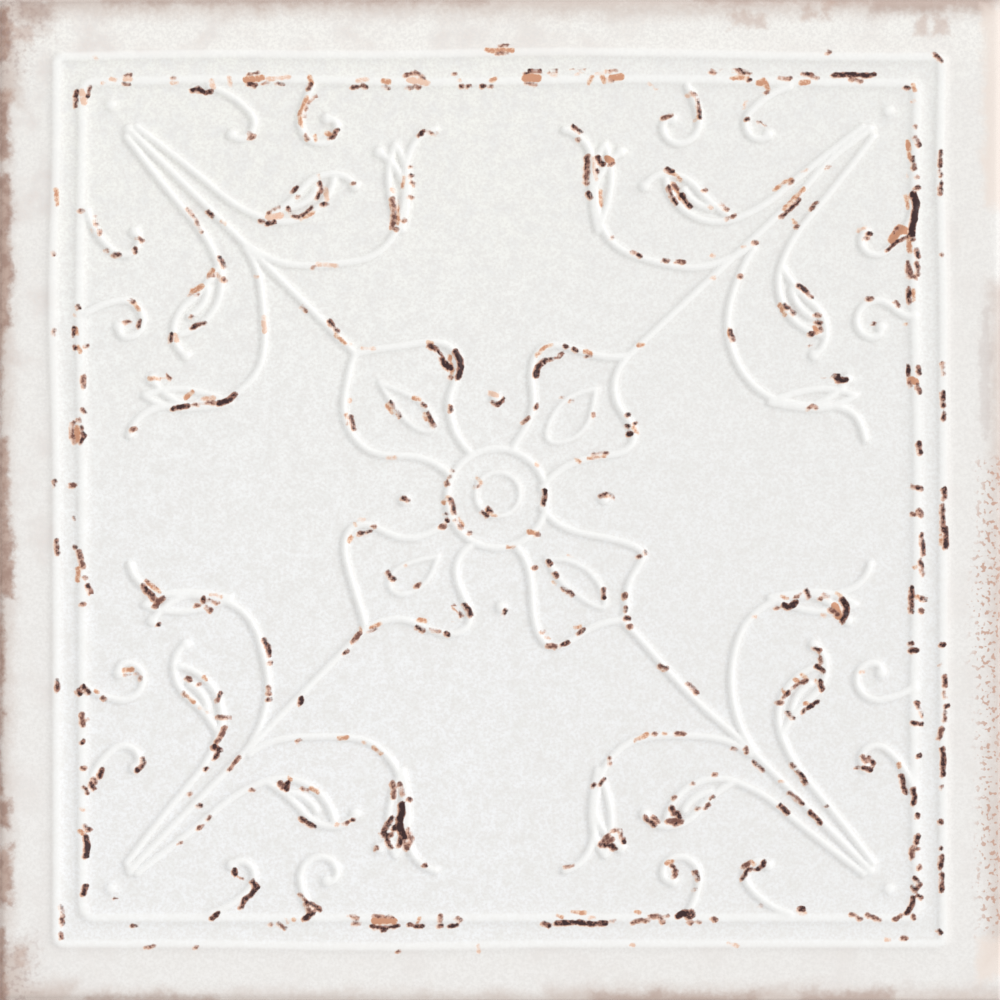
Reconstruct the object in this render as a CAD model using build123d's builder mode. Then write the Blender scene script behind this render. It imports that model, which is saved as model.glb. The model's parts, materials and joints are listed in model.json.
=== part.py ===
from build123d import *
from math import atan, degrees, sqrt
import os

# Relief wall tile in glazed ceramic, one piece of stock.
# Millimetres. The tile lies on its back: +Z is the glazed face, the origin is
# at the middle of the back, +X is the right-hand side and +Y the top edge.

# Body
tile_size = 200.0
body_thick = 8.0
arris_round = 1.6

# Keyed back: shallow pockets that hold the adhesive
pocket_side = 19.0
pocket_land = 7.0
pocket_count = 6
pocket_depth = 0.8
pocket_draft = 20.0

# The two raised lines that frame the face
outer_line_inset = 11.6
inner_line_inset = 16.7
inner_line_corner = 2.4

# Raised ribs: sloping flanks and a narrow crown, rooted in the body
rib_half_width = 1.0
crown_half_width = 0.5
rib_rise = 0.8
rib_root = 0.3

# Round bosses: the ends of the curls, the corner knobs, the spear tips and the studs
boss_sides = 8
curl_radius = 1.4
knob_radius = 1.9
tip_radius = 1.7
stud_radius = 1.8

# Corner sprig
knob_inset = 5.6
tip_inset = 9.4
leaf_width = 4.6

# Rosette in the middle
ring_radius = 9.7
button_radius = 4.4
petal_point = 27.4
petal_lap = 0.18
petal_foot_angle = 58.24
lens_point = 21.5
lens_clearance = 5.01
stud_circle = 20.6

# The petals lap onto the outer ring, and the lenses stop short of it
petal_foot = (ring_radius + petal_lap) * Vector(1, 0).rotate(Axis.Z, petal_foot_angle)
lens_foot = (ring_radius + lens_clearance) / sqrt(2)
outer_half = tile_size / 2 - outer_line_inset
inner_half = tile_size / 2 - inner_line_inset
flank_slope = (rib_half_width - crown_half_width) / rib_rise
diagonal = Plane(origin=(0, 0, 0), z_dir=(1, -1, 0))


def rib(path, corners=Transition.TRANSFORMED):
    """Sweeps the rib's section along a path that lies on the face."""
    heading = path % 0
    across = Vector(0, 0, 1).cross(heading)
    foot = rib_half_width + rib_root * flank_slope
    with BuildSketch(Plane(origin=path @ 0, x_dir=across, z_dir=heading)) as section:
        with BuildLine():
            Polyline(
                (-foot, -rib_root),
                (foot, -rib_root),
                (crown_half_width, rib_rise),
                (-crown_half_width, rib_rise),
                close=True,
            )
        make_face()
    sweep(sections=section.sketch, path=path, transition=corners)


def arcs(points, heading):
    """A rib along arcs, each tangent to the one before it. Gives back its last point."""
    with BuildLine() as run:
        for start, end in zip(points, points[1:]):
            arc = TangentArc((*start, body_thick), (*end, body_thick), tangent=(*heading, 0))
            turned = arc % 1
            heading = (turned.X, turned.Y)
    rib(run.wires()[0])
    return points[-1]


def inset(across, down):
    """A place on the face, measured from the corner of the inner line."""
    return (inner_half - across, inner_half - down)


def sprig(points, heading):
    """A run of arcs given as insets from the corner of the inner line."""
    return arcs([inset(*point) for point in points], (-heading[0], -heading[1]))


def boss(place, radius):
    """A boss as high as the ribs, faceted round, with the same sloping flank."""
    with BuildSketch(Plane.XY.offset(body_thick - rib_root)) as outline:
        with Locations(place):
            RegularPolygon(radius + rib_root * flank_slope, boss_sides)
    extrude(outline.sketch, amount=rib_root + rib_rise, taper=degrees(atan(flank_slope)))


def leaf(start, end, width):
    """A pointed leaf between two arcs, drawn in towards its crown."""
    start, end = Vector(*inset(*start)), Vector(*inset(*end))
    half = (end - start).length / 2
    lie = Plane(origin=(start + end) / 2 + Vector(0, 0, body_thick - rib_root), x_dir=end - start, z_dir=(0, 0, 1))
    with BuildSketch(lie) as outline:
        with BuildLine():
            ThreePointArc((-half, 0), (0, width / 2), (half, 0))
            ThreePointArc((half, 0), (0, -width / 2), (-half, 0))
        make_face()
    extrude(outline.sketch, amount=rib_root + rib_rise, taper=30)


# The ornament of one eighth of the face, mirrored into four corners
with BuildPart() as ornament:
    # side of the spear, which runs on as the lower edge of the bud
    sprig([(10.8, 8.8), (27.4, 22.0), (36.6, 27.2), (45.4, 26.2), (50.2, 19.2)], (1, 0.74))
    # upper edge of the bud, ending in a small curl
    boss(sprig([(36.8, 27.0), (44.0, 21.0), (50.4, 18.2), (54.4, 20.6)], (1, -0.55)), curl_radius)
    # large scroll with its leaf, tail and spur
    sprig(
        [(33.2, 32.6), (43.4, 36.8), (55.4, 35.8), (63.6, 26.8), (64.4, 19.0), (65.6, 13.2), (70.4, 9.4)],
        (1, 0.72),
    )
    leaf((63.8, 29.4), (62.4, 12.4), leaf_width)
    boss(sprig([(64.2, 20.4), (59.2, 13.9)], (-0.34, -1)), curl_radius)
    # two hooks that hang from the inner line
    boss(sprig([(25.4, 0.8), (33.6, 6.2), (33.2, 10.6), (29.8, 10.4)], (1, 0.27)), curl_radius)
    boss(sprig([(46.0, 0.6), (43.5, 7.0), (46.6, 12.0), (50.4, 8.6)], (-0.53, 0.85)), curl_radius)
    # side of the petal, from its point on the diagonal round to the ring
    lobe = [(18.4, 27.4), (12.0, 28.8), (6.7, 25.4), (7.4, 19.0), (7.5, 13.2)]
    arcs([(petal_point, petal_point), *lobe, (petal_foot.X, petal_foot.Y)], (-1, -0.14))
    # side of the lens inside the petal
    arcs([(lens_point, lens_point), (lens_foot, lens_foot)], (-1, -0.27))
    mirror(about=diagonal)
    # stem on the diagonal, from the tip of the spear to the point of the petal
    with BuildLine() as stem:
        Line((*inset(tip_inset, tip_inset), body_thick), (petal_point, petal_point, body_thick))
    rib(stem.wires()[0])
    boss(inset(tip_inset, tip_inset), tip_radius)
    boss(inset(knob_inset, knob_inset), knob_radius)
    mirror(about=Plane.YZ)
    mirror(about=Plane.XZ)
    # studs between the petals
    for place in ((stud_circle, 0), (0, stud_circle), (-stud_circle, 0), (0, -stud_circle)):
        boss(place, stud_radius)
    # rings of the rosette
    for radius in (ring_radius, button_radius):
        with BuildLine(Plane.XY.offset(body_thick)) as circle:
            CenterArc((0, 0), radius, 0, 360)
        rib(circle.wires()[0])
    # framing lines, the outer one mitred and the inner one rounded
    with BuildLine(Plane.XY.offset(body_thick)) as outer_line:
        Polyline(
            (0, outer_half),
            (outer_half, outer_half),
            (outer_half, -outer_half),
            (-outer_half, -outer_half),
            (-outer_half, outer_half),
            close=True,
        )
    rib(outer_line.wires()[0], Transition.RIGHT)
    with BuildSketch(Plane.XY.offset(body_thick)) as inner_line:
        RectangleRounded(2 * inner_half, 2 * inner_half, inner_line_corner)
    rib(inner_line.sketch.wires()[0])

with BuildPart() as tile:
    with BuildSketch():
        Rectangle(tile_size, tile_size)
    extrude(amount=body_thick)
    fillet(tile.faces().sort_by(Axis.Z)[-1].edges(), radius=arris_round)
    pocket_pitch = pocket_side + pocket_land
    with BuildSketch():
        with GridLocations(pocket_pitch, pocket_pitch, pocket_count, pocket_count):
            Rectangle(pocket_side, pocket_side)
    extrude(amount=pocket_depth, taper=pocket_draft, mode=Mode.SUBTRACT)
    add(ornament.part)
print("tile", tile.part.is_valid, tile.part.volume, len(tile.part.solids()))

tile.part.label = "tile"
os.makedirs("parts", exist_ok=True)
export_step(tile.part, "parts/tile.step")
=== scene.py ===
# %% [markdown]
# # A relief wall tile in glazed ceramic
# The real tile is one piece of fired clay, about 200 mm square and 8 mm thick.
# Its face carries raised ribs under a milky satin glaze: two framing lines, a
# rosette in the middle and a sprig in each corner. Its back has shallow pockets
# for the adhesive. This lesson models the tile as one closed mesh, and starts
# from the measured part, so that the place and the size of everything agree.

# %% The measured part
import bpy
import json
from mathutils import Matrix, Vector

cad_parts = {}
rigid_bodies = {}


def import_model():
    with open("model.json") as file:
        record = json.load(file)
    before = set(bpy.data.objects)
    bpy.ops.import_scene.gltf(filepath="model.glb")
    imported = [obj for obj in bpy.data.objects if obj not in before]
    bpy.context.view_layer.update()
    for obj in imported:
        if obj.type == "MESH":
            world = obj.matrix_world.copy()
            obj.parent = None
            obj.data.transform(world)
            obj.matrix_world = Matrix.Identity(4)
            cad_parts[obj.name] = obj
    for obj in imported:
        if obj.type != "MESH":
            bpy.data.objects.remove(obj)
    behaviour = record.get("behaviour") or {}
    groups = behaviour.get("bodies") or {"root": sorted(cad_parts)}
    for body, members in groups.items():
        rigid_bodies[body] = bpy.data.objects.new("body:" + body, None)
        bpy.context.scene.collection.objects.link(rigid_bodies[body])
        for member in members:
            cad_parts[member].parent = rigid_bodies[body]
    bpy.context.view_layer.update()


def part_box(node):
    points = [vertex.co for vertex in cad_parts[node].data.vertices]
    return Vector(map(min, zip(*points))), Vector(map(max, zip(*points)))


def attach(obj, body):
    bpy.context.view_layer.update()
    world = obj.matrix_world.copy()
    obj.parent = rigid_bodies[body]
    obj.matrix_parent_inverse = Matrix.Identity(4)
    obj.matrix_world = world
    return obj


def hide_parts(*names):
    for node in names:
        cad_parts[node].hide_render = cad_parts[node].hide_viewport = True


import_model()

import json
from math import atan2, pi, radians, sqrt

import bpy
from mathutils import Matrix, Vector
from mathutils.kdtree import KDTree

low, high = (Vector(corner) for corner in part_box("tile"))
half = high.x  # half of a side
rise = 0.0008  # the height of the ribs
face = high.z - rise
print("tile", [round(1000 * (b - a), 2) for a, b in zip(low, high)], "mm, face at", round(1000 * face, 2))

# %% [markdown]
# ## Working by hand, in code
# Blender's operators act on what is selected, as they do for a person with a
# mouse. Two helpers keep that tidy: one makes a single object the active one,
# and one selects faces by where they are and which way they look.

# %% Selecting
def only(thing):
    """Leaves edit mode, with one object selected and active."""
    if bpy.context.mode != "OBJECT":
        bpy.ops.object.mode_set(mode="OBJECT")
    bpy.ops.object.select_all(action="DESELECT")
    thing.select_set(True)
    bpy.context.view_layer.objects.active = thing


def pick_faces(thing, wanted):
    """Goes into edit mode with just the wanted faces selected, and gives back how many."""
    only(thing)
    bpy.ops.object.mode_set(mode="EDIT")
    bpy.ops.mesh.select_mode(type="FACE")
    bpy.ops.mesh.select_all(action="DESELECT")
    bpy.ops.object.mode_set(mode="OBJECT")
    count = 0
    for side in thing.data.polygons:
        side.select = wanted(side)
        count += side.select
    bpy.ops.object.mode_set(mode="EDIT")
    return count


# %% [markdown]
# ## The drawing
# A potter pricks the ornament through a paper pattern and then trails the ribs
# along the lines. Here the paper pattern is a mesh of edges alone. Every curve
# is a run of arcs, and each arc starts in the direction in which the last one
# ended, which is how a flowing hand draws. Spinning one point about a centre
# leaves such an arc behind it.

# %% A pencil that draws arcs
def new_drawing(name):
    """An empty mesh object at the origin, open for drawing."""
    bpy.ops.object.select_all(action="DESELECT")
    bpy.ops.mesh.primitive_plane_add(size=0.001)
    drawing = bpy.context.object
    drawing.name = name
    bpy.ops.object.mode_set(mode="EDIT")
    bpy.ops.mesh.select_mode(type="VERT")
    bpy.ops.mesh.delete(type="VERT")
    return drawing


def prick(place):
    """One point on the face, left selected."""
    bpy.ops.mesh.select_all(action="DESELECT")
    bpy.ops.mesh.primitive_plane_add(size=0.001, location=(*place, face))
    bpy.ops.mesh.merge(type="CENTER")


def arcs(points, heading):
    """A run of arcs through the points, each tangent to the one before."""
    prick(points[0])
    heading = Vector(heading).normalized()
    for start, end in zip(points, points[1:]):
        chord = Vector(end) - Vector(start)
        left = Vector((-heading.y, heading.x))
        turn = 2 * atan2(left.dot(chord), heading.dot(chord))
        centre = Vector(start) + left * chord.length_squared / (2 * left.dot(chord))
        steps = max(3, round(chord.length / 0.0006))
        bpy.ops.mesh.spin(steps=steps, angle=-turn, center=(*centre, face), axis=(0, 0, 1))
        heading.rotate(Matrix.Rotation(turn, 2))
    return points[-1]


# %% [markdown]
# ## One eighth of the ornament
# The sprig in a corner is the same on both sides of its diagonal, so one eighth
# of the face is drawn and then mirrored. Its places are millimetres inwards from
# the corner of the inner line.

# %% The eighth
corner = 0.0833


def sprig(points, heading):
    """A run given as insets, in millimetres, from the corner of the inner line."""
    places = [(corner - across / 1000, corner - down / 1000) for across, down in points]
    return arcs(places, (-heading[0], -heading[1]))


tracery = new_drawing("tracery")
# the side of the spear, which runs on as the lower edge of the bud
sprig([(10.8, 8.8), (27.4, 22.0), (36.6, 27.2), (45.4, 26.2), (50.2, 19.2)], (1, 0.74))
# the upper edge of the bud and its vein
curls = [sprig([(36.8, 27.0), (44.0, 21.0), (50.4, 18.2), (54.4, 20.6)], (1, -0.55))]
sprig([(41.2, 25.0), (46.6, 21.4)], (1, -0.1))
# the scroll with its tail and spur
sprig(
    [(33.2, 32.6), (43.4, 36.8), (55.4, 35.8), (63.6, 26.8), (64.4, 19.0), (65.6, 13.2), (70.4, 9.4)], (1, 0.72),
)
curls.append(sprig([(64.2, 20.4), (59.2, 13.9)], (-0.34, -1)))
# the two hooks that hang from the inner line
curls.append(sprig([(25.4, 0.8), (33.6, 6.2), (33.2, 10.6), (29.8, 10.4)], (1, 0.27)))
curls.append(sprig([(46.0, 0.6), (43.5, 7.0), (46.6, 12.0), (50.8, 8.8), (48.8, 7.2)], (-0.53, 0.85)))
bpy.ops.object.mode_set(mode="OBJECT")
print("one eighth:", len(tracery.data.edges), "edges")

# %% [markdown]
# ## Mirroring it round the face
# A Mirror modifier that takes its plane from an empty turned by 45 degrees
# makes the quarter, and a second one on both axes makes the whole. The stems on
# the diagonals and the ring are added after that, because they lie on the
# mirror planes or go right round.

# %% The whole ornament
def on_face(across, down):
    """A place seen from above, where the tile is 1000 steps wide and deep."""
    return Vector(((across - 500) * half / 500, (500 - down) * half / 500))


def mirrored(thing, turned):
    """Mirrors a drawing about the diagonal and then about both axes."""
    only(thing)
    diagonal = thing.modifiers.new("diagonal", "MIRROR")
    diagonal.mirror_object = turned
    quarters = thing.modifiers.new("quarters", "MIRROR")
    quarters.use_axis = (True, True, False)
    for modifier in (diagonal, quarters):
        modifier.use_mirror_merge = False
        bpy.ops.object.modifier_apply(modifier=modifier.name)


def straight(start, end):
    """A straight run, cut into short edges."""
    prick(start)
    move = Vector(end) - Vector(start)
    bpy.ops.mesh.extrude_region_move(TRANSFORM_OT_translate={"value": (*move, 0)})
    bpy.ops.mesh.select_more()
    bpy.ops.mesh.subdivide(number_cuts=round(move.length / 0.0007))


def square(side, rounding):
    """A framing line with rounded corners, cut into short edges."""
    bpy.ops.mesh.select_all(action="DESELECT")
    bpy.ops.mesh.primitive_circle_add(
        vertices=4, radius=side * sqrt(2), rotation=(0, 0, pi / 4), location=(0, 0, face),
    )
    bpy.ops.mesh.bevel(offset=rounding, segments=3, affect="VERTICES")
    bpy.ops.mesh.select_linked()
    bpy.ops.mesh.subdivide(number_cuts=120)
    bpy.ops.mesh.subdivide(number_cuts=1)


bpy.ops.object.empty_add(rotation=(0, 0, -pi / 4))
slant = bpy.context.object
mirrored(tracery, slant)
bpy.ops.object.mode_set(mode="EDIT")
for tip, foot in (
    ((130, 130), (356, 354)), ((869, 130), (628, 356)), ((869, 869), (622, 620)), ((131, 869), (366, 628)),
):
    straight(on_face(*tip), on_face(*foot))
bpy.ops.mesh.select_all(action="DESELECT")
ring_radius = 0.0099
bpy.ops.mesh.primitive_circle_add(vertices=100, radius=ring_radius, location=(*on_face(497, 498), face))
bpy.ops.object.mode_set(mode="OBJECT")
print("the whole ornament:", len(tracery.data.edges), "edges")

# %% [markdown]
# ## The rosette, petal by petal
# The four petals were trailed one by one, and no two are alike, so mirroring
# would lose their charm. Each outline is a chain of straight strokes first, and
# a Subdivision Surface modifier then rounds it, as a wet line rounds itself.

# %% The rosette
def chain(*places):
    """Straight strokes from place to place."""
    prick(on_face(*places[0]))
    for start, end in zip(places, places[1:]):
        move = on_face(*end) - on_face(*start)
        bpy.ops.mesh.extrude_region_move(TRANSFORM_OT_translate={"value": (*move, 0)})


def round_off(thing):
    """Rounds the corners of a chain, as a wet line rounds itself."""
    only(thing)
    rounded = thing.modifiers.new("rounded", "SUBSURF")
    rounded.levels = rounded.render_levels = 4
    bpy.ops.object.modifier_apply(modifier="rounded")


petals = new_drawing("petals")
# upper left, the upper side and then the lower one
chain(
    (356, 354), (370, 350), (400, 347), (428, 341), (448, 343), (461, 358), (458, 377), (449, 395),
    (449, 412), (454, 432), (463, 445), (470, 452),
)
chain(
    (356, 354), (351, 364), (348, 380), (344, 398), (344, 416), (351, 435), (368, 452), (390, 456),
    (412, 455), (432, 461), (447, 471), (452, 478),
)
# upper right
chain(
    (628, 356), (614, 358), (596, 356), (578, 350), (562, 345), (546, 345), (534, 355), (530, 374),
    (534, 395), (533, 412), (526, 428), (517, 441), (512, 450),
)
chain(
    (628, 356), (618, 368), (613, 384), (615, 402), (625, 417), (635, 430), (633, 447), (616, 455),
    (598, 456), (578, 461), (560, 469), (548, 480), (542, 488),
)
# lower right
chain(
    (622, 620), (606, 621), (586, 629), (568, 643), (552, 648), (539, 638), (533, 618), (532, 594),
    (530, 572), (524, 556), (517, 548),
)
chain(
    (622, 620), (627, 612), (626, 597), (628, 582), (638, 566), (647, 553), (630, 543), (604, 537),
    (580, 533), (560, 526), (547, 515), (542, 508),
)
# lower left
chain(
    (366, 628), (382, 620), (402, 617), (420, 625), (436, 631), (452, 635), (468, 629), (472, 613),
    (464, 598), (457, 582), (455, 566), (462, 552), (470, 546),
)
chain(
    (366, 628), (362, 612), (356, 595), (350, 574), (344, 553), (345, 534), (358, 522), (376, 526),
    (394, 537), (416, 539), (436, 530), (448, 520), (453, 514),
)
round_off(petals)
petals.select_set(True)
tracery.select_set(True)
bpy.context.view_layer.objects.active = tracery
bpy.ops.object.join()
print("with the petals:", len(tracery.data.edges), "edges")

# %% [markdown]
# ## The faint lines
# The lens in each petal, the little ring in the middle and the dots on the
# diagonals were trailed with less slip, and half drowned in the glaze. They get
# drawings of their own, so that they can be raised less. The two framing lines
# are pressed with a broad rounded stick, so they get a third one.

# %% The faint lines
faint = new_drawing("faint")
chain(
    (380, 382), (393, 388), (413, 396), (427, 407), (435, 420), (433, 432), (420, 431), (406, 421),
    (394, 406), (385, 392), (380, 382),
)
chain(
    (596, 389), (578, 392), (562, 402), (550, 419), (543, 442), (562, 443), (578, 437), (589, 424),
    (593, 406), (596, 389),
)
chain(
    (547, 559), (562, 558), (578, 563), (592, 573), (602, 588), (608, 608), (596, 607), (580, 597),
    (565, 586), (554, 573), (547, 559),
)
chain(
    (438, 556), (420, 559), (402, 565), (391, 574), (388, 586), (397, 595), (412, 593), (426, 584),
    (434, 570), (438, 556),
)
round_off(faint)
bpy.ops.object.mode_set(mode="EDIT")
bpy.ops.mesh.select_all(action="DESELECT")
bpy.ops.mesh.primitive_circle_add(vertices=44, radius=0.0044, location=(*on_face(498, 494), face))
bpy.ops.object.mode_set(mode="OBJECT")
frames = new_drawing("frames")
square(corner, 0.0022)
square(0.0885, 0.0014)
bpy.ops.object.mode_set(mode="OBJECT")
dots = new_drawing("dots")
for dot in ((130, 130), (869, 130), (869, 869), (131, 869), (112, 106), (888, 112), (888, 888), (112, 888)):
    prick(on_face(*dot))
bpy.ops.object.mode_set(mode="OBJECT")
print("faint lines:", len(faint.data.edges), "edges and", len(dots.data.vertices), "dots")

# %% [markdown]
# ## The wander of the hand
# Mirrored ribs are too perfect. Proportional editing pulls one point of a rib a
# little, and its neighbours along the rib follow less and less, which is how a
# trailed line strays from its pricked pattern.

# %% The wander of the hand
def nudge(drawing, at, by, reach):
    """Pulls the rib nearest to a place, in the steps of the face."""
    only(drawing)
    bpy.ops.object.mode_set(mode="EDIT")
    bpy.ops.mesh.select_mode(type="VERT")
    bpy.ops.mesh.select_all(action="DESELECT")
    bpy.ops.object.mode_set(mode="OBJECT")
    target = on_face(*at)
    min(drawing.data.vertices, key=lambda point: (point.co.xy - target).length).select = True
    bpy.ops.object.mode_set(mode="EDIT")
    move = on_face(*by) - on_face(0, 0)
    bpy.ops.transform.translate(
        value=(*move, 0), use_proportional_edit=True, use_proportional_connected=True,
        proportional_edit_falloff="SMOOTH", proportional_size=reach * half / 500,
    )
    bpy.ops.object.mode_set(mode="OBJECT")


for drawing, at, by, reach in (
    # the scrolls
    (tracery, (330, 268), (0, -4), 60), (tracery, (267, 310), (-5, 0), 60), (tracery, (645, 264), (0, -5), 60),
    (tracery, (729, 330), (-4, 0), 60), (tracery, (320, 733), (0, 5), 60), (tracery, (265, 645), (-3, 0), 50),
    (tracery, (680, 732), (0, 4), 60), (tracery, (872, 434), (-5, 4), 40),
    # the side of a spear, two stems and the root of a hook
    (tracery, (838, 168), (-4, -3), 60), (tracery, (690, 690), (-3, 3), 90), (tracery, (905, 305), (0, 7), 25),
    # the framing lines
    (frames, (916, 260), (-3, 0), 200), (frames, (916, 720), (-3, 0), 200), (frames, (84, 300), (-3, 0), 200),
    (frames, (640, 84), (0, -4), 260), (frames, (250, 84), (0, -4), 220), (frames, (942, 160), (-3, 0), 160),
    (frames, (58, 300), (-4, 0), 180), (frames, (570, 58), (0, -5), 300), (frames, (230, 58), (0, -3), 200),
    (frames, (380, 942), (0, 3), 200),
):
    nudge(drawing, at, by, reach)
print("nudged ribs")

# %% [markdown]
# ## The bosses and the leaves
# The curls end in small round bosses, and studs stand between the petals. A
# boss is a single point of a drawing of its own, because a point spreads evenly
# all round. The long leaf on each scroll is a pair of arcs that meet at both ends.

# %% Bosses
bosses = new_drawing("bosses")
for place in curls:
    prick(place)
bpy.ops.object.mode_set(mode="OBJECT")
mirrored(bosses, slant)
bpy.ops.object.mode_set(mode="EDIT")
for place in ((496, 398), (405, 500), (604, 499), (501, 607)):
    prick(on_face(*place))
bpy.ops.object.mode_set(mode="OBJECT")

leaves = new_drawing("leaves")
sprig([(63.8, 29.4), (65.0, 20.9), (62.4, 12.4)], (0.25, -1))
sprig([(63.8, 29.4), (61.2, 20.9), (62.4, 12.4)], (-0.5, -1))
bpy.ops.object.mode_set(mode="OBJECT")
mirrored(leaves, slant)
print("bosses:", len(bosses.data.vertices), " leaves:", len(leaves.data.edges))
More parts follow.
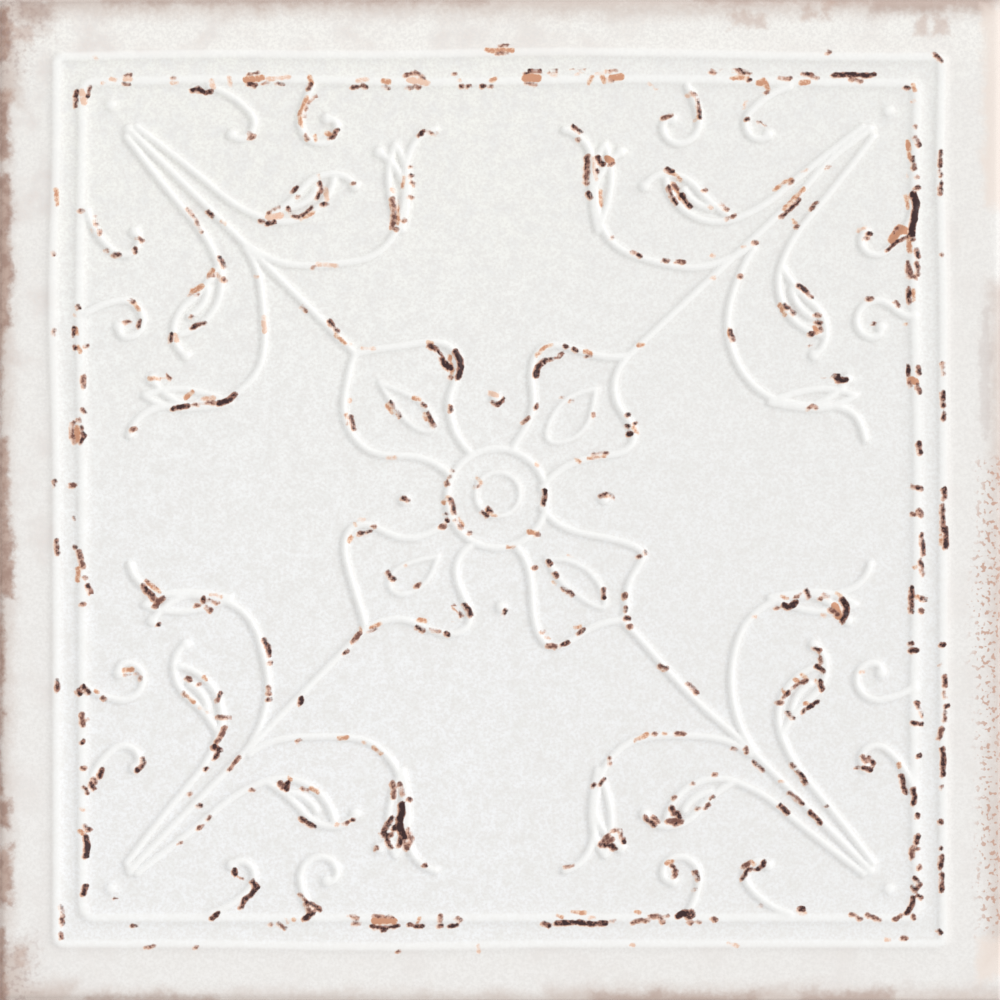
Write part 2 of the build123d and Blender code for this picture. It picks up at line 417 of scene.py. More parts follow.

# %% [markdown]
# ## The chips
# The ribs are chipped where they stand proudest. A chip shows a peach or tan
# lip, a brown bruise and a dark broken edge, so there is one drawing for each
# of the four tones. The tan is the bare clay with a painted highlight where a
# chip's wall faces the light, and the dark is the bare clay with painted shade
# where a wall faces away. Every stroke is written as its tone, its width and the
# places that it runs through. A stroke is drawn above the face, the finer the
# higher, so that its reach on the face is as wide as the stroke. A fifth drawing
# repeats the dark and brown strokes a little to the lower left, as a painted
# orange highlight on the lit wall of each chip.

# %% The chips
strokes = {
    "framing lines, upper side": """
    k4:77,92-77,107 k3:91,88-88,98 p7:83,93-85,103 p3:95,57-98,60 p4:103,84-104,84 p4:112,80-116,81
    b3:126,76-132,76 k3:125,84-130,85 p6:126,80-131,80 p3:172,84-178,84 b2:174,79-176,79
    k5:193,91-199,89-205,94-212,92 p6:212,82-214,88 p4:230,79-231,86 t7:247,81-262,79 b3:250,75-259,74
    k5:250,85-256,86 b2:264,84-268,84 p4:268,80-290,78 k3:278,84-284,86 t5:310,78-312,84 k4:311,85-310,90
    k4:353,88-358,88 k4:363,86-367,88 p4:358,82-368,80 k4:385,87-389,89 t6:384,82-389,83
    b4:406,76-413,73-420,75-424,79 p7:410,81-427,84 k4:408,88-412,89 k4:416,87-420,88 b2:454,74-456,74
    k4:461,87-463,87 k4:468,87-470,87 p3:459,82-460,82 k4:483,87-485,87 b4:490,87-492,87 t4:490,82-495,80
    t5:486,51-512,51 b2:498,54-508,54 b2:500,47-508,46 k4:525,73-530,71-541,72 t8:525,79-538,79 b2:526,84-536,85
    k4:550,72-558,71 p3:551,76-556,76 b3:572,69-575,69 b3:582,72-586,70 t3:588,85-592,78 p3:576,75-578,75
    p3:596,74-605,73 t4:602,77-604,83 b3:611,72-616,71 t7:611,79-621,78 b3:610,81-613,82 b4:710,72-715,73
    b2:720,71-721,71 k4:737,70-742,73-750,73 b3:734,71-736,69 t4:731,79-747,79 k3:748,81-750,81 t6:757,84-765,84
    t5:763,81-767,90 k4:765,93-767,93 b3:779,79-790,79 t5:800,84-808,83 k4:803,74-812,76 b3:814,78-817,79
    k5:833,76-848,75-862,76-874,75 b4:851,80-860,82 b4:827,53-829,53 k3:933,54-941,62 k4:905,88-908,89
    t4:912,86-914,91 p3:911,102-914,102""",
    "framing lines, right side": """
    b3:915,127-916,128 t5:907,143-909,158 k4:914,138-919,146 k4:912,158-914,170 p3:905,175-906,177
    b3:916,177-917,178 k5:916,188-918,188 k7:912,195-916,204-914,215-912,226-911,235 t4:905,196-907,208
    t9:891,240-899,229-903,231 b2:892,234-899,226 k3:887,250-897,242-906,238 t5:907,239-909,252
    k3:911,240-913,240 k4:916,250-918,258 b5:907,263-910,277 k3:907,268-907,276 k4:916,263-918,275
    b3:914,278-915,279 k4:908,289-909,303 t4:912,291-913,301 t3:903,325-905,325 k5:907,366-907,375
    k4:917,367-919,374 t7:909,380-915,382 b3:908,382-910,386 k4:917,385-919,393 k5:918,443-920,453
    b3:910,486-915,487 k4:916,487-921,489 b4:911,514-913,514 b5:918,510-921,515 k4:921,534-923,554
    t3:913,567-915,567 k4:920,560-923,575 k5:911,588-911,611 t4:915,597-917,597 k4:921,598-925,599
    b5:920,610-922,611 k4:909,643-911,643 k5:910,650-916,650 k5:916,702-917,703 k3:918,706-923,715
    k4:912,722-923,724 k5:918,755-919,755 k5:913,788-914,797-913,803 k4:917,814-917,816 k5:917,835-916,842
    b5:912,846-911,857 k4:916,848-918,848 b4:919,865-919,867 k4:914,877-920,884-915,889-911,886
    k4:918,895-921,897 k5:912,897-911,905-906,912 b3:913,914-913,917 b3:900,915-902,915 b5:894,918-896,918
    k3:940,152-940,166 k3:939,171-941,176 k4:940,184-940,194 b2:941,254-941,256 b3:942,363-943,374
    k4:942,392-943,406 k4:943,413-943,420 k5:943,489-944,498 k4:942,505-942,530 k5:945,528-945,547
    t4:940,535-940,544 k5:941,644-943,644 b3:940,664-941,664 k5:944,676-945,685 b3:943,692-945,697
    k4:945,705-947,705 k3:944,712-944,720 b5:941,728-939,737 k5:942,748-943,762-942,774 k4:941,786-941,787
    k5:940,820-940,822 k3:940,847-940,848 k4:941,855-940,867 k4:941,873-941,890 k4:938,929-940,932
    b3:963,59-965,59""",
    "framing lines, lower side": """
    b4:851,913-854,914-860,918 b4:867,914-874,917-879,919 k6:799,908-802,908 p3:799,912-804,912
    b3:759,904-761,905 k5:544,922-549,925 k5:556,922-574,922 t3:557,914-562,916 k5:578,921-592,923-606,922
    t4:572,911-584,912 p3:588,917-594,917 b3:611,920-614,920 b4:632,922-640,919-648,919 t4:636,911-639,912
    b4:650,915-660,916-663,921 b3:666,915-668,915 k6:678,915-685,911-689,916 k4:691,909-693,914
    b4:689,920-691,922 b3:698,921-700,921 b5:713,917-715,919 b3:350,914-358,916 b3:354,922-360,923
    b3:374,915-394,917 t8:375,920-394,920 k4:372,925-380,927-391,926-399,925 k4:382,930-386,930
    k4:410,924-412,924 k4:416,925-423,925 t3:420,917-418,922 b4:441,915-441,921 k5:440,925-442,925
    k4:449,926-457,924 b4:457,917-461,920 k3:279,922-286,927 b2:271,923-273,923 t3:286,918-288,922
    t3:293,919-295,919 k4:133,925-137,925 k6:306,917-308,917 k5:213,917-219,912 b3:147,946-155,945
    b3:196,946-198,946 b3:398,950-400,950 p4:478,945-479,951 p3:631,944-634,944 b4:901,937-905,937
    p3:885,939-889,939 p3:728,942-738,945""",
    "framing lines, left side": """
    t4:57,190-58,205 b3:55,252-55,255 b3:55,330-55,335 k3:56,481-56,486 k4:58,540-59,553 k4:58,680-59,690
    b4:81,211-84,212 k4:79,306-80,308 p3:75,315-76,316 t5:76,329-77,334 k4:75,328-74,336 k4:75,346-76,349
    t4:79,347-81,352 k4:87,346-89,346 b4:85,376-84,381-85,387 k4:83,409-86,412 b4:74,423-73,434-76,443
    t7:78,428-78,440 k4:82,427-85,436-82,443 b3:80,419-81,422 b5:71,485-76,485 b3:75,518-76,519 k4:75,547-77,547
    b5:80,551-84,567 t5:79,568-79,580 b4:85,577-87,578 k5:89,585-92,592 b4:83,604-85,604 k5:79,690-81,693
    k5:85,686-90,693 t3:97,691-99,692 b4:104,697-106,699 b5:83,714-84,725 b2:88,719-89,719 k4:83,742-85,740
    b4:84,767-86,767 k5:103,769-101,776 b4:94,778-97,782 k5:92,783-95,788 k3:85,786-89,792 p3:82,808-84,809
    k4:90,829-92,829 t5:81,831-83,833 k6:87,836-89,842-87,855 k3:86,824-87,826 k6:87,885-85,893 k3:62,905-65,915
    k3:63,918-64,923 k4:62,933-63,937""",
    "upper left sprig": """
    b2:316,96-308,106-305,118 t4:308,98-303,107-300,116-302,127 k2:316,97-318,96 b3:306,136-309,140
    t3:315,136-316,141 k4:338,131-334,137-331,139 t5:327,134-332,136 b3:250,134-255,137-250,139
    k4:420,136-424,132 b2:427,132-437,134 b3:96,217-98,225 b3:101,231-102,234 b2:107,250-109,251
    k5:115,255-121,255 k4:136,249-137,252 b4:139,238-143,241 p3:92,230-93,232 b2:189,209-195,217-199,226-203,232
    k3:209,212-214,217 t3:222,222-226,225 k4:220,258-226,267 t5:210,275-213,271 b2:210,277-214,276
    p4:218,275-222,281 b4:225,279-227,281 k3:261,221-265,222 k4:268,224-275,223 b3:269,213-280,208
    p7:269,218-281,216 k4:293,192-297,188 b2:298,197-300,197 k3:289,209-293,215-299,218-305,214-313,207
    t3:301,221-314,213 k4:320,184-322,190-318,198 p5:326,189-327,200 k3:323,205-327,205 p2:319,176-320,178
    b3:353,184-355,184 b3:313,268-315,268 p4:318,265-338,267 b5:393,199-395,210-393,228 t3:398,202-398,225
    p4:392,190-394,192 b3:396,229-398,230 t4:404,178-403,188 b2:411,167-413,167 k3:411,176-413,176
    b4:413,183-415,185 b3:410,197-413,198 b3:404,221-406,221 k3:131,300-134,302 t3:134,303-140,310
    b4:126,322-131,322 k4:141,321-140,327 t6:193,292-202,287 b2:191,295-199,295 k4:193,328-199,325-206,323
    b3:192,317-194,318 k4:172,335-172,341 p6:176,336-177,341 p3:256,277-258,277 p5:264,318-265,332
    b3:303,307-307,311 t4:150,379-160,379 b4:168,375-171,378 p4:161,378-165,378 k5:174,409-182,407-189,406
    t4:186,398-193,392 b3:194,405-205,404 p5:204,400-214,398 k6:220,403-226,402-232,398-236,394
    b3:208,402-216,403 b4:133,430-136,429 k4:330,321-333,325-338,332 t4:336,335-346,344 p3:349,345-351,345""",
    "upper right sprig": """
    b3:691,93-696,97 k3:697,100-699,108-700,118 t3:697,118-694,121 p3:686,96-688,97 b4:663,119-671,116
    p4:649,85-656,90 k3:573,127-581,133 b3:578,139-579,141 b5:588,157-587,184 k2:586,158-585,182
    k5:598,158-603,165 t7:607,159-611,162 b3:610,166-613,164 p3:592,159-596,180 k3:597,171-598,173
    k5:588,194-591,198 t4:600,192-601,206 k5:667,170-672,172 t4:673,174-680,181 b4:673,185-677,189
    k4:668,187-671,195-676,204 t4:672,184-680,199 k5:681,195-686,202-690,207 b3:704,190-706,191
    b3:720,204-723,206 b3:725,209-727,210 p4:709,207-711,208 b4:727,219-734,216 b3:611,238-613,238
    b3:631,252-634,253 k3:638,255-641,257 k4:663,261-668,261 b4:676,262-684,262 p4:711,256-713,256
    p4:711,278-715,279 b4:739,276-741,277 p3:742,247-744,247 t3:774,191-784,183-791,180 b3:789,185-793,182
    p3:802,173-806,170 t4:783,210-793,200-803,190 k4:781,217-790,210-799,200 b3:827,168-829,167
    k4:811,209-816,203 t4:792,221-795,224 k4:796,227-798,227 b4:754,243-756,243 p3:743,110-746,102
    k3:746,120-748,120 k3:758,123-762,122-766,125 p3:857,232-865,228 k5:868,234-870,234 b3:864,239-867,239
    k4:797,285-803,289-811,297 t5:779,306-784,315 k4:784,306-788,309 k4:791,312-794,314 b3:815,315-820,316
    k4:816,322-820,323 b4:820,329-821,331 t5:814,328-816,333 k5:810,334-812,334 b3:808,346-811,345
    k4:730,331-733,340 t3:728,328-729,336 b3:822,378-828,375 k4:829,375-838,376 k6:838,380-845,380
    b3:808,409-812,406-816,408 b4:867,299-871,299 k4:895,302-898,306 k3:871,324-874,324 t4:638,345-642,345""",
    "rosette": """
    p3:362,348-375,349 t4:428,343-432,344 k5:430,346-437,349 k7:440,357-445,364-450,368 t5:450,357-452,373
    k6:456,352-460,360-461,370-458,378 b3:450,376-452,379 t4:414,398-420,400 k4:423,404-426,406
    k4:428,413-431,420-434,426 t3:424,413-426,420 k3:391,402-396,409-401,416 t3:387,405-393,413
    k4:451,408-452,411 t3:449,406-450,409 p3:350,400-350,402 k4:351,417-355,429 t3:346,415-348,424
    k4:493,402-498,405-503,401 k3:504,399-505,397 p6:490,393-497,396 p3:388,458-396,458 b3:452,470-453,471
    k3:451,476-451,478 b5:447,482-448,484 t3:447,497-449,497 t4:443,502-445,503 k4:450,499-453,506-455,513
    k3:445,513-447,514 k3:446,520-448,521 b3:456,520-462,528 t3:459,519-463,525 b5:442,526-445,526
    b3:469,533-471,533 b2:475,487-480,486 t4:477,478-481,483 k3:488,508-492,512 k3:482,511-487,516
    t3:486,510-495,516 k4:545,490-544,504 p4:536,464-538,465 t5:529,532-537,533 k4:537,534-539,534
    t3:507,547-514,547 k4:403,498-409,500 k3:600,496-608,493-615,498 t2:604,496-610,495
    t3:536,356-545,347-552,345 k3:564,346-567,347 k4:574,349-577,351 t5:585,352-591,354 k2:586,356-591,356
    k6:536,376-538,368-544,361 k4:550,360-552,359 k4:557,358-562,354 k4:537,405-536,408 b4:524,422-529,418
    b2:562,397-564,397 b2:571,401-573,401 b3:594,414-594,416 k4:627,415-629,415 k4:626,426-628,426
    k4:635,423-637,423 k5:628,434-631,434 t4:633,428-637,433 t4:576,460-579,462 t4:588,458-604,456
    b3:592,454-607,453 p3:359,520-364,519 t3:355,524-356,525 b3:373,526-375,526 k4:360,533-363,533
    k4:368,532-371,531 t4:351,537-349,541 k4:388,572-391,577-395,579 p3:405,565-407,565 b4:417,586-421,583
    k4:345,653-348,650 b5:354,641-360,633 t3:360,628-361,630 t4:371,628-381,623 k3:370,631-376,628
    t4:419,620-425,621 k5:418,627-424,630 b3:430,629-440,631 k4:446,632-449,634 k3:453,605-455,605
    b3:457,611-462,616 k4:464,604-469,609-471,615 p3:452,620-454,620 k3:504,615-506,610 k5:549,561-551,564
    b4:534,567-536,567 k5:555,573-557,575 t3:553,582-555,584 k3:562,587-568,591-573,595 p3:568,555-572,556
    k4:604,589-604,597 b5:625,594-625,597 k3:626,607-626,610 k5:626,618-628,618 b5:629,626-631,626
    b4:638,556-640,556 k3:645,551-646,553 b3:542,631-545,631 t3:546,637-549,638 b5:548,645-556,646
    k5:562,645-568,642 t4:575,627-580,626 k4:579,633-584,629""",
    "lower left sprig": """
    k5:144,585-147,590-154,595 t4:149,583-160,592 b2:147,580-156,587 b6:153,595-158,601-164,598
    b4:155,606-157,606 k4:159,624-161,624 b4:197,605-199,605 k4:204,598-205,601 k4:208,606-212,610
    b3:210,600-219,602 p4:212,594-222,597 k4:265,639-269,647-270,655 b3:270,662-272,663 b5:270,687-270,693
    k4:269,699-271,699 k5:188,678-191,679 b3:200,684-201,684 t4:205,677-207,679 k4:221,693-218,700
    t4:185,693-194,701 k2:184,692-187,696 p3:200,707-208,712 b4:219,716-227,717-231,718
    b5:226,727-222,735-218,741 k5:215,746-221,750-216,757 t5:125,670-133,669 b3:127,674-129,674
    b3:138,673-142,679 k5:302,698-301,703 b3:299,740-301,739 k4:144,758-145,762-142,767-138,770
    k4:206,768-208,768 b4:230,769-240,757 b3:190,793-192,793 k4:199,805-201,805 k4:209,818-211,816
    b4:200,827-203,825 b3:180,842-182,842 b4:252,789-254,789 b6:281,783-284,786 k6:288,783-287,788
    t3:289,777-291,779 b3:303,787-308,790 t4:311,787-318,792 k4:302,817-308,822-315,826 p3:336,824-338,824
    b3:345,823-348,822 k4:353,819-355,819 t4:339,738-347,737 p3:363,742-365,742 t4:374,747-381,753
    b5:393,782-395,788-394,796 b4:400,783-404,794 k4:409,798-411,799 k7:402,804-403,812-400,818-401,828-404,835
    k5:392,817-388,825-382,832 k4:384,835-392,834 k3:387,838-392,847 k6:395,827-397,827 k5:401,838-400,844
    b4:408,828-412,838-408,848 b3:404,840-406,848 b4:378,846-377,849 k4:424,864-426,864 k6:235,870-236,874
    b3:241,877-243,878 k5:253,880-258,886-252,894-246,898-242,906 k4:116,898-119,900 b3:301,893-306,899
    k4:307,901-314,904-321,909 b4:307,904-311,912 k5:307,916-314,912""",
    "lower right sprig": """
    k4:593,785-594,784 k4:600,784-604,779 b3:610,757-610,763 t4:635,740-647,734 b4:654,733-656,733
    t4:663,733-665,733 b4:676,733-684,733 b3:566,866-573,864 k4:600,844-613,845 b5:602,841-608,835
    b3:613,829-621,829 k5:621,832-624,841 b5:607,841-612,838 k4:613,848-615,848 k4:645,815-648,820-655,824
    b4:652,816-658,821 k5:672,807-674,813 b6:668,820-681,821 k5:677,812-680,817 k4:674,824-676,824
    b3:673,797-675,797 b3:692,783-694,783 b4:714,774-716,774 k4:711,797-713,796 b3:697,808-699,808
    k4:705,807-709,803 t5:667,862-672,861 k4:672,864-676,870-674,876 k4:695,871-698,878 b3:694,888-696,888
    b3:732,748-736,750 b3:745,747-747,752 k3:753,761-763,770 p4:779,781-781,781 k4:791,763-794,766
    k4:797,770-802,776-806,783 k4:789,792-796,797-802,803 k5:780,805-787,812 k4:809,811-816,816-820,822
    b2:824,805-826,805 k4:868,757-875,764 b5:862,756-866,761 k5:863,767-870,769 b3:856,767-858,767
    t4:898,763-899,766 k5:901,775-903,785-905,793 b4:743,866-749,862 t4:751,861-754,864
    k4:742,878-748,869-757,868-762,865-764,860 k5:660,665-666,668 k4:688,683-697,692 p4:753,616-755,616
    t4:781,596-786,598 k6:784,605-789,607-795,602 b3:776,607-778,607 b3:795,597-799,594 k4:806,590-809,597
    b3:819,598-821,598 b3:823,594-829,597 t4:836,593-840,596 k6:842,599-846,606-845,616-842,621
    t8:834,606-838,616 b5:830,609-836,614 p4:822,615-824,615 k4:814,647-820,650 b3:820,657-820,663
    k4:816,665-823,671 k5:820,681-822,689 t4:815,681-816,682 k3:793,687-800,683-806,680 t4:794,679-797,681
    t3:801,674-806,678 t4:782,690-785,693 k4:783,697-788,692 b3:776,702-782,702 k4:803,711-810,706-817,701
    t3:804,703-806,703 k4:787,712-793,717 p4:860,672-862,672""",
}
full_reach = 0.0012  # how far a stroke reaches through the air
# the dark tone is bare clay with painted shade, the tan tone bare clay with a painted highlight, and the fifth
# tone a painted highlight on each chip's lit wall
tones = {"dark_clay_and_shade": "k", "brown": "b", "tan_clay_and_highlight": "t", "peach": "p", "chip_highlight": "kb"}
# painted highlight: the fifth tone is shifted to the lower left, onto the wall of each chip that faces the light
highlight_shift = Vector((-0.0003, -0.0002))
chips = {}
for tone, letters in tones.items():
    chips[tone] = new_drawing(tone)
    shift = highlight_shift if tone == "chip_highlight" else Vector((0, 0))
    for stroke in " ".join(strokes.values()).split():
        if stroke[0] in letters:
            width, path = stroke[1:].split(":")
            places = [on_face(*map(float, place.split(","))) + shift for place in path.split("-")]
            lift = sqrt(full_reach ** 2 - (float(width) * half / 1000) ** 2)
            bpy.ops.mesh.select_all(action="DESELECT")
            bpy.ops.mesh.primitive_plane_add(size=0.001, location=(*places[0], face + lift))
            bpy.ops.mesh.merge(type="CENTER")
            for start, end in zip(places, places[1:]):
                bpy.ops.mesh.extrude_region_move(TRANSFORM_OT_translate={"value": (*(end - start), 0)})
    bpy.ops.object.mode_set(mode="OBJECT")
    print(tone, "strokes:", len(chips[tone].data.edges), "edges")

# %% [markdown]
# ## The blank
# The clay is pressed flat with a rounded arris round its face. A cube of the
# tile's size gets that arris from a bevel of its four upper edges. Its face is
# inset by a millimetre and cut into a grid of squares, which keeps the fine
# cuts out of the arris.

# %% The blank
arris = 0.0016
border = 0.001
cells_across = 60
bpy.ops.object.select_all(action="DESELECT")
bpy.ops.mesh.primitive_cube_add(size=1, location=(0, 0, face / 2), scale=(2 * half, 2 * half, face))
blank = bpy.context.object
blank.name = "ornamental_tile"
bpy.ops.object.transform_apply(location=True, rotation=True, scale=True)
pick_faces(blank, lambda side: side.normal.z > 0.5)
bpy.ops.mesh.bevel(offset=arris, segments=5, affect="EDGES")
pick_faces(blank, lambda side: side.normal.z > 0.999)
bpy.ops.mesh.inset(thickness=border)
pick_faces(blank, lambda side: side.normal.z > 0.999 and side.center.length < 0.02)
bpy.ops.mesh.subdivide(number_cuts=cells_across - 1)
bpy.ops.object.mode_set(mode="OBJECT")
print("blank:", len(blank.data.polygons), "faces")

# %% [markdown]
# ## The keyed back
# The back is pressed with six rows of six shallow pockets. The bottom face is
# inset to the field that the pockets fill and cut into 36 squares, each square
# is inset by half a land, and a second inset with a depth sinks the pocket and
# gives its walls their draft in one step.

# %% The keyed back
pocket_count = 6
pocket_field = 0.078  # half of the square that the pockets and their lands fill
land, draft, pocket_depth = 0.007, 0.00029, 0.0008
square_area = 0.0007  # no square of the grid is larger, and the rim round them is


def bottom(side):
    """Whether a face looks straight down."""
    return side.normal.z < -0.999


pick_faces(blank, bottom)
bpy.ops.mesh.inset(thickness=half - pocket_field)
pick_faces(blank, lambda side: bottom(side) and side.center.xy.length < 0.001)
bpy.ops.mesh.subdivide(number_cuts=pocket_count - 1)
cells = pick_faces(blank, lambda side: bottom(side) and side.area < square_area)
bpy.ops.mesh.inset(thickness=land / 2, use_individual=True)
bpy.ops.mesh.inset(thickness=draft, depth=-pocket_depth, use_individual=True)
bpy.ops.object.mode_set(mode="OBJECT")
print("pockets:", cells)

# %% [markdown]
# ## Finer cells under the ribs
# A rib is two millimetres wide, so it needs cells of 0.4 mm, but the field
# between the ribs is flat. Three passes cut only the faces that lie near the
# drawing, each pass closer to it than the last.

# %% Finer cells
def tree_of(*drawings):
    """The points of some drawings, in a tree that finds the nearest one quickly."""
    points = [point.co.copy() for drawing in drawings for point in drawing.data.vertices]
    tree = KDTree(len(points))
    for index, point in enumerate(points):
        tree.insert(point, index)
    tree.balance()
    return tree


near = tree_of(tracery, faint, frames, dots, bosses, leaves)
for reach in (0.0038, 0.0025, 0.0016):
    count = pick_faces(blank, lambda side: side.normal.z > 0.999 and near.find(side.center)[2] < reach)
    bpy.ops.mesh.subdivide(number_cuts=1, quadcorner="STRAIGHT_CUT")
    print("reach", reach, "cut", count, "faces")
bpy.ops.object.mode_set(mode="OBJECT")
print("triangles:", sum(len(side.vertices) - 2 for side in blank.data.polygons))

# %% [markdown]
# ## Raising the ribs
# Vertex Weight Proximity gives each point of the tile a weight by its distance
# from the drawing, with a soft shoulder, and Displace lifts the point by that
# weight. The ribs and bosses so melt into each other and into the field, as
# they do under a thick glaze. The largest weight wins where two drawings meet,
# and the faint lines and the framing lines count for less than the ribs.

# %% Raising the ribs
def weigh(thing, group, drawing, full, none, falloff="SMOOTH"):
    """Weights the points of a mesh by their distance from a drawing."""
    only(thing)
    thing.vertex_groups.new(name=group).add(range(len(thing.data.vertices)), 1.0, "REPLACE")
    nearness = thing.modifiers.new(group, "VERTEX_WEIGHT_PROXIMITY")
    nearness.vertex_group = group
    nearness.target = drawing
    nearness.proximity_mode = "GEOMETRY"
    nearness.proximity_geometry = {"EDGE"} if drawing.data.edges else {"VERTEX"}
    nearness.min_dist, nearness.max_dist = none, full
    nearness.falloff_type = falloff
    bpy.ops.object.modifier_apply(modifier=group)


for group, drawing, full, none in (
    ("relief", tracery, 0.0001, 0.0013), ("faint", faint, 0.0, 0.0012), ("frames", frames, 0.0002, 0.002),
    ("dots", dots, 0.0004, 0.0019), ("boss", bosses, 0.0004, 0.0017), ("leaf", leaves, 0.0001, 0.0013),
):
    weigh(blank, group, drawing, full, none)
for tone, drawing in chips.items():
    weigh(blank, tone, drawing, 0.0, 2 * full_reach, "LINEAR")
for group, share in (("faint", 0.75), ("frames", 0.7), ("dots", 0.7), ("boss", 1.0), ("leaf", 0.9)):
    together = blank.modifiers.new("together", "VERTEX_WEIGHT_MIX")
    together.vertex_group_a, together.vertex_group_b = "relief", group
    together.mix_set, together.mix_mode, together.mask_constant = "ALL", "MAX", share
    bpy.ops.object.modifier_apply(modifier="together")
raised = blank.modifiers.new("raised", "DISPLACE")
raised.direction, raised.mid_level, raised.strength = "Z", 0.0, rise
raised.vertex_group = "relief"
bpy.ops.object.modifier_apply(modifier="raised")
bpy.ops.object.shade_smooth_by_angle(angle=radians(60))
only(blank)
for group in ("relief", *chips):
    values = blank.data.attributes.new(group + "_map", "FLOAT", "POINT")
    index = blank.vertex_groups[group].index
    for point in blank.data.vertices:
        values.data[point.index].value = sum(share.weight for share in point.groups if share.group == index)
blank.vertex_groups.clear()
print("highest point:", round(1000 * max(point.co.z for point in blank.data.vertices), 3), "mm")

# %% [markdown]
# ## Putting the paper pattern away
# The drawings have done their work, and a bare edge isn't part of a tile, so
# they are deleted before anything is rendered or exported.

# %% Putting the paper pattern away
for drawing in (tracery, faint, frames, dots, bosses, leaves, slant, *chips.values()):
    bpy.data.objects.remove(drawing)

# %% [markdown]
# ## A map of the surface
# The glaze is painted by place, but a game engine or a slicer needs it baked to
# a flat picture. The face takes most of that picture, straight from above. The
# back is squeezed into a strip above it, and the four sides get four narrow ones.

# %% A map of the surface
chart = blank.data.uv_layers.new(name="OFBake").data
edge = half - 0.00001
face_at, face_room = 0.005, 0.845
back_at, back_room = 0.86, 0.135
strips_at, strip_step, strip_room = 0.862, 0.034, 0.03


def along(value, start, length):
    """A place along a side of the tile, as a place along a stretch of the picture."""
    return start + length * (value / (2 * half) + 0.5)


def charted(co, side):
    """The place in the unit square of one corner of a face."""
    middle = side.center
    if side.normal.z > 0.3:
        return (along(co.x, face_at, face_room), along(co.y, face_at, face_room))
    if abs(middle.x) > edge or abs(middle.y) > edge or side.normal.z > 0.01 and middle.z > 0.002:
        upright = abs(middle.x) > abs(middle.y)
        strip = (middle.x > 0) + 2 if upright else middle.y > 0
        across = strips_at + strip_step * strip + strip_room * co.z / high.z
        return (across, along(co.y if upright else co.x, face_at, face_room))
    return (along(co.x, face_at, face_room), along(co.y, back_at, back_room))


for side in blank.data.polygons:
    for loop in side.loop_indices:
        chart[loop].uv = charted(blank.data.vertices[blank.data.loops[loop].vertex_index].co, side)
print("charted", len(chart), "corners")

# %% [markdown]
# ## Shader maths
# A material is arithmetic on places and noises. A small class wraps a socket,
# so that the arithmetic reads as such, and one method adds any other node.

# %% Wires and finishes
class Wire:
    """A socket of a material. Arithmetic on it adds the Math nodes."""

    def __init__(self, tree, socket):
        self.tree, self.socket = tree, socket

    def maths(self, operation, *values):
        node = self.tree.nodes.new("ShaderNodeMath")
        node.operation = operation
        for plug, value in zip(node.inputs, values):
            connect(self.tree, plug, value)
        return Wire(self.tree, node.outputs[0])

    def __add__(self, other): return self.maths("ADD", self, other)
    def __sub__(self, other): return self.maths("SUBTRACT", self, other)
    def __mul__(self, other): return self.maths("MULTIPLY", self, other)
    def __radd__(self, other): return self.maths("ADD", other, self)
    def __rsub__(self, other): return self.maths("SUBTRACT", other, self)
    def __rmul__(self, other): return self.maths("MULTIPLY", other, self)
    def __abs__(self): return self.maths("ABSOLUTE", self)


def connect(tree, plug, value):
    """Links a wire to a socket, or sets the socket to a plain value."""
    if isinstance(value, Wire):
        tree.links.new(value.socket, plug)
    else:
        plug.default_value = value


class Finish:
    """A material, built node by node."""

    def __init__(self, name):
        self.material = bpy.data.materials.new(name)
        self.material.use_nodes = True
        self.tree = self.material.node_tree
        self.tree.nodes.clear()
        self.place = self.node("TexCoord", out="Object")

    def node(self, kind, settings={}, sockets={}, out=0):
        """Adds a node, with its settings first and then its sockets."""
        node = self.tree.nodes.new("ShaderNode" + kind)
        for name, value in settings.items():
            setattr(node, name, value)
        for name, value in sockets.items():
            plug = [socket for socket in node.inputs if socket.enabled and socket.name == name][0]
            connect(self.tree, plug, value)
        outputs = [socket for socket in node.outputs if socket.enabled and out in (0, socket.name)]
        return Wire(self.tree, outputs[0]) if outputs else None

    def noise(self, scale, detail=2.0, rough=0.5, at=(0, 0, 0)):
        """Cloudy noise from 0 to 1, with a scale in lumps per metre."""
        place = self.node("Mapping", {}, {"Vector": self.place, "Location": at})
        return self.node("TexNoise", {}, {"Vector": place, "Scale": scale, "Detail": detail, "Roughness": rough})

    def ramp(self, value, start, end, low=0.0, high=1.0):
        """A smooth step from low to high as the value goes from start to end."""
        return self.node("MapRange", {"interpolation_type": "SMOOTHSTEP"}, {
            "Value": value, "From Min": start, "From Max": end, "To Min": low, "To Max": high,
        })

    def mix(self, mask, under, over):
        """Lays one colour over another where the mask is 1."""
        return self.node("Mix", {"data_type": "RGBA"}, {"Factor": mask, "A": under, "B": over})


def ink(red, green, blue):
    """A colour as it looks on a screen, 0 to 255, turned into the light that it stands for."""
    values = [value / 255 for value in (red, green, blue)]
    return (*(v / 12.92 if v < 0.04045 else ((v + 0.055) / 1.055) ** 2.4 for v in values), 1.0)


# %% [markdown]
# ## The glaze
# Off-white satin glaze, warmer towards the top, a little stained outside the
# frame, with a fine orange peel and a faint grain. A painted highlight whitens
# the crests of the ribs. The glaze is mixed from noises of several sizes,
# because a single one looks like printed camouflage.

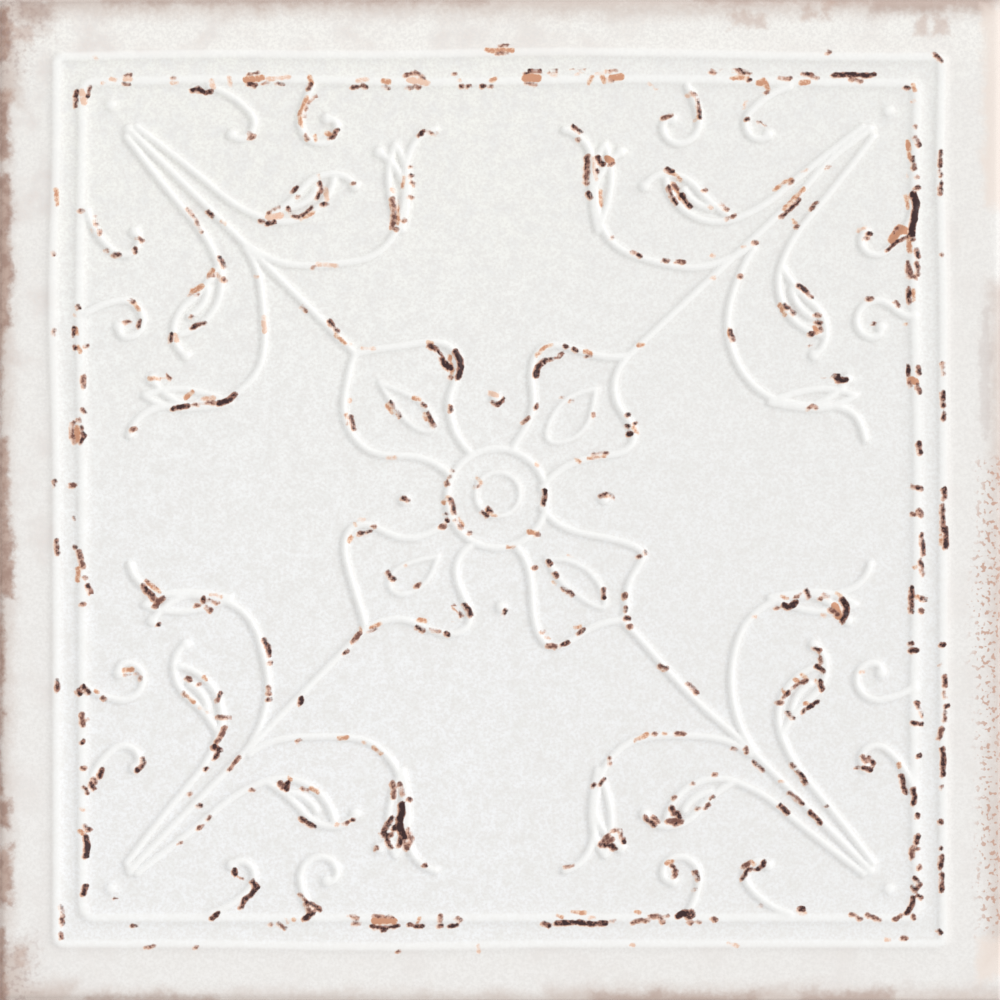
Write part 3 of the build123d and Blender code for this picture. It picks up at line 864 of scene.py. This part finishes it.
# %% The glaze
glaze = Finish("glazed_ceramic")
x, y, z = (glaze.node("SeparateXYZ", {}, {"Vector": glaze.place}, out=axis) for axis in "XYZ")
across, down = x * (500 / half) + 500, 500 - y * (500 / half)
clouds = glaze.noise(38, 3.0, 0.55)
mottle = glaze.noise(420, 3.0, 0.6, at=(1, 2, 3))
grain = glaze.noise(1700, 2.0, 0.6, at=(3, 1, 2))
relief, dark_clay_and_shade, brown, tan_clay_and_highlight, peach, chip_highlight = (
    glaze.node("Attribute", {"attribute_name": name + "_map"}, out="Fac") for name in ("relief", *tones)
)
cream = glaze.mix(glaze.ramp(down + clouds * 300, 150, 900), ink(248, 248, 242), ink(247, 248, 249))
cream = glaze.mix(glaze.ramp(across + clouds * 200, 580, 760) * 0.4, cream, ink(240, 240, 239))
cream = glaze.mix(glaze.ramp(mottle, 0.35, 0.75), cream, ink(239, 239, 237))
margin = glaze.ramp(x.maths("MAXIMUM", abs(x), abs(y)), 0.088, 0.0895)
cream = glaze.mix(margin * glaze.ramp(down, 120, 40) * 0.9, cream, ink(250, 248, 243))
cream = glaze.mix(margin * glaze.ramp(down, 40, 120) * 0.7, cream, ink(242, 239, 235))
stained = glaze.ramp(glaze.noise(95, 4.0, 0.6, at=(8, 8, 3)), 0.46, 0.72) * margin
cream = glaze.mix(stained * (glaze.ramp(across + down, 1100, 100) * 0.5 + 0.3), cream, ink(226, 216, 211))
colour = glaze.mix(glaze.ramp(grain, 0.32, 0.68) * 0.65, cream, ink(231, 228, 225))
# painted highlight: the crests of the ribs are whitened in the colour, standing in for the light they catch
colour = glaze.mix(glaze.ramp(relief, 0.35, 0.75) * 0.58, colour, ink(254, 254, 252))

# %% [markdown]
# ## Wear round the rim
# The arris takes the knocks. Along it the glaze has worn to the pinkish clay in
# long patches, each side in its own way, with paler washes round them. A patch
# is a rectangle whose distance is shaken by noise before it is cut off. All
# places are in steps from the upper left corner, 1000 steps to a side.

# %% Wear round the rim
broad = (glaze.noise(210, 2.0, 0.5, at=(5, 5, 5)) - 0.5) * 16
shake = broad + (glaze.noise(900, 2.0, 0.6, at=(9, 4, 1)) - 0.5) * 10


def patches(soft, *boxes):
    """A mask of ragged patches, each from left to right and from top to bottom."""
    cover = 0.0
    for left, right, top, bottom in boxes:
        wide = abs(across - (left + right) / 2) - (right - left) / 2
        deep = abs(down - (top + bottom) / 2) - (bottom - top) / 2
        patch = glaze.ramp(wide.maths("MAXIMUM", wide, deep) + shake, soft, 0.0)
        cover = patch.maths("MAXIMUM", patch, cover)
    return cover


washed = patches(
    30, (60, 1000, -20, -1), (-20, 30, -20, 14), (-20, 6, 20, 90), (-20, -5, 90, 930), (-20, 14, 960, 1020),
    (10, 60, 998, 1020), (60, 300, 1009, 1020), (290, 560, 1009, 1020), (560, 800, 1003, 1020),
    (800, 1000, 1006, 1020), (1006, 1020, 300, 940),
)
scuffed = patches(
    14, (110, 480, -20, -3), (700, 860, -20, -4), (880, 985, 2, 5), (96, 210, 1003, 1020),
    (600, 750, 999, 1020), (806, 884, 999, 1020), (26, 44, 8, 12),
)
worn = patches(
    9, (-20, 6, 12, 60), (-20, 7, 98, 156), (-20, 7, 178, 322), (-20, -2, 326, 430), (-20, 5, 440, 520),
    (-20, 8, 520, 592), (-20, -1, 596, 790), (-20, 6, 804, 822), (-20, 8, 850, 900), (-20, 3, 930, 1020),
)
blots = patches(
    9, (19, 26, 31, 36), (20, 25, 961, 963), (22, 24, 952, 953), (807, 815, 15, 17), (824, 827, 6, 17),
    (919, 921, 24, 30), (938, 943, 24, 30), (735, 760, 20, 24),
)
beige = patches(14, (989, 1020, 14, 200), (984, 1020, 945, 970))
dusty = glaze.noise(1000, 1.0, 0.5, at=(2, 8, 8))
freckled = glaze.ramp(dusty, 0.54, 0.64) * patches(
    20, (982, 996, 565, 655), (989, 998, 470, 560), (986, 998, 660, 730), (989, 998, 750, 920),
)
dirty = glaze.ramp(dusty, 0.45, 0.7) * patches(
    40, (-20, 30, -20, 14), (-20, 10, 20, 60), (-20, 16, 960, 1020),
)
streak = patches(6, (983, 986, 310, 440))
for mask, tint in (
    (washed * 0.8, ink(206, 189, 179)),
    (scuffed * 0.55, ink(178, 150, 137)),
    (worn * 0.8, glaze.mix(glaze.ramp(mottle, 0.35, 0.65), ink(188, 158, 143), ink(156, 118, 102))),
    (blots * 0.5, ink(198, 170, 156)),
    (beige * 0.75, ink(240, 226, 216)),
    (freckled * 0.85, ink(200, 158, 138)),
    (dirty * 0.45, ink(176, 154, 148)),
    (streak * 0.4, ink(208, 198, 194)),
):
    colour = glaze.mix(mask, colour, tint)

# %% [markdown]
# ## The chips and the bare clay
# Each chip is cut from the distance to its strokes, with a little noise on it,
# and darkens from its lip towards its core. The clay shows bare on the sides
# and on the back.

# %% The chips and the bare clay
coarse = (glaze.noise(600, 1.0, 0.5, at=(7, 0, 2)) - 0.5) * 0.12
ragged = coarse + (glaze.noise(1400, 1.0, 0.5, at=(4, 4, 0)) - 0.5) * 0.06
blotch = (glaze.noise(1300, 2.0, 0.7, at=(6, 1, 6)) - 0.5) * 0.26
chip = 0.0
# over the bare clay colour, the dark tone paints shade on each chip's far wall, and the tan and the fifth tone
# paint highlight on its lit wall
for mark, lip, core, cover in (
    (chip_highlight, ink(248, 218, 198), ink(218, 154, 112), 0.8),
    (peach, ink(250, 230, 217), ink(238, 194, 166), 0.85),
    (tan_clay_and_highlight, ink(244, 208, 180), ink(206, 138, 96), 0.9),
    (brown, ink(206, 160, 140), ink(110, 68, 60), 0.92),
    (dark_clay_and_shade, ink(172, 124, 108), ink(58, 32, 33), 1.0),
):
    mark = mark + ragged
    bruise = glaze.mix(glaze.ramp(mark + blotch, 0.475, 0.55), lip, core)
    colour = glaze.mix(glaze.ramp(mark, 0.459, 0.521) * cover, colour, bruise)
    pit = glaze.ramp(mark, 0.467, 0.525) + chip
    chip = pit.maths("MINIMUM", pit, 1.0)
clay = glaze.mix(glaze.ramp(mottle, 0.3, 0.7), ink(196, 152, 128), ink(214, 176, 152))
bare = glaze.ramp(z + (clouds - 0.5) * 0.002, 0.0062, 0.0054)
colour = glaze.mix(bare, colour, clay)
peel = glaze.node("Bump", {}, {
    "Strength": 0.25, "Distance": 0.0002, "Height": mottle * 0.6 + grain * 0.4 - chip * 0.8,
})
shader = glaze.node("BsdfPrincipled", {}, {
    "Base Color": colour,
    "Roughness": glaze.ramp(bare + worn * 0.5 + mottle * 0.2, 0.0, 1.0, 0.42, 0.9),
    "IOR": 1.4,
    "Normal": peel,
})
glaze.node("OutputMaterial", {}, {"Surface": shader})
blank.data.materials.clear()
blank.data.materials.append(glaze.material)
print("glaze:", len(glaze.tree.nodes), "nodes")

# %% [markdown]
# ## Joining the measured part
# The mesh stands for the measured tile and rides on its one body.

# %% Riding on the part
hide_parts("tile")
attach(blank, "root")

# %% [markdown]
# ## Light, floor and camera
# The tile was seen from straight above with soft daylight from the upper right.
# A bright world gives the even light, and a broad lamp gives the ribs their
# light and dark flanks.

# %% Light, floor and camera
scene = bpy.context.scene
scene.view_settings.view_transform = "Standard"
world = bpy.data.worlds.new("daylight")
scene.world = world
world.use_nodes = True
world.node_tree.nodes["Background"].inputs["Color"].default_value = (1, 1, 1, 1)
world.node_tree.nodes["Background"].inputs["Strength"].default_value = 0.8

bpy.ops.object.select_all(action="DESELECT")
bpy.ops.object.light_add(type="SUN", rotation=(radians(55), 0, radians(111)))
sun = bpy.context.object
sun.data.energy = 1.05
sun.data.angle = radians(25)

bpy.ops.object.select_all(action="DESELECT")
bpy.ops.mesh.primitive_plane_add(size=3)
floor = bpy.context.object
floor.name = "floor"
paper = Finish("floor_paper")
pale = paper.mix(paper.noise(9), (0.86, 0.86, 0.86, 1), (0.9, 0.9, 0.9, 1))
matt = paper.node("BsdfPrincipled", {}, {"Base Color": pale, "Roughness": 0.9})
paper.node("OutputMaterial", {}, {"Surface": matt})
floor.data.materials.append(paper.material)

distance = 2.0  # far enough away for an even view
sensor = 36
fill = 0.998  # the tile runs just past the edges of the picture
bpy.ops.object.select_all(action="DESELECT")
bpy.ops.object.camera_add(location=(0, 0, face + distance))
camera = bpy.context.object
camera.data.sensor_width = sensor
camera.data.lens = sensor * distance / (2 * half * fill)
scene.camera = camera
print("lens:", round(camera.data.lens, 1), "mm")
